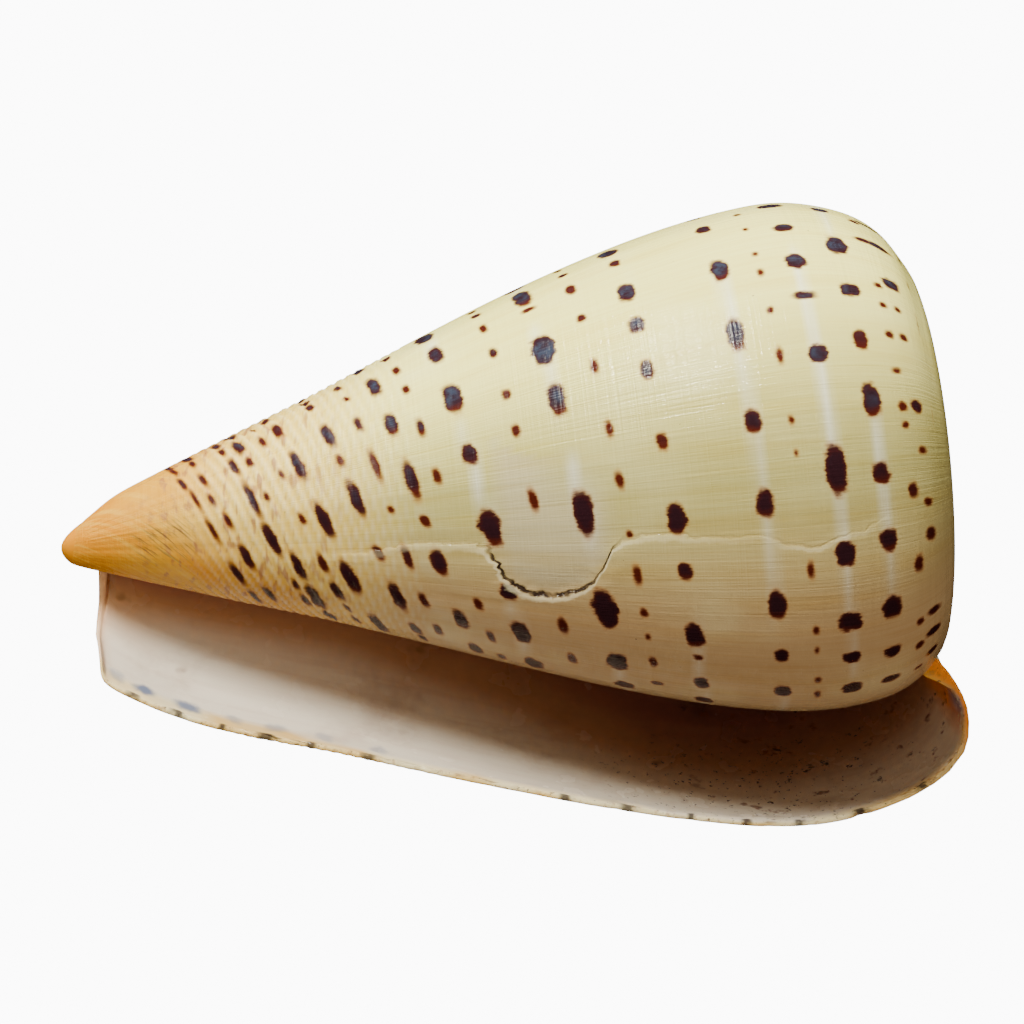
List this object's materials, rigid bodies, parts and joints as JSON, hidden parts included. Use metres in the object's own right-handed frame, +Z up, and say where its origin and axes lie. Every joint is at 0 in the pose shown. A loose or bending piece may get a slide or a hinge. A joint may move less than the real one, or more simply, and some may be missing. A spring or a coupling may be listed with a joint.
{
  "type": "cone shell",
  "caption": "Empty cone shell with a broad rounded shoulder, a low spire and a long narrow opening, lying on its back.",
  "frame": {"origin": "centre of the bounding box in plan, at the surface the shell lies on", "axes": "+Z up, the long direction along X with the narrow tip towards -X, the outer lip towards -Y"},
  "size_m": [0.1168, 0.081, 0.0736],
  "materials": {
    "shell": "gloss"
  },
  "bodies": {
    "root": {"shell": "shell"}
  },
  "joints": []
}
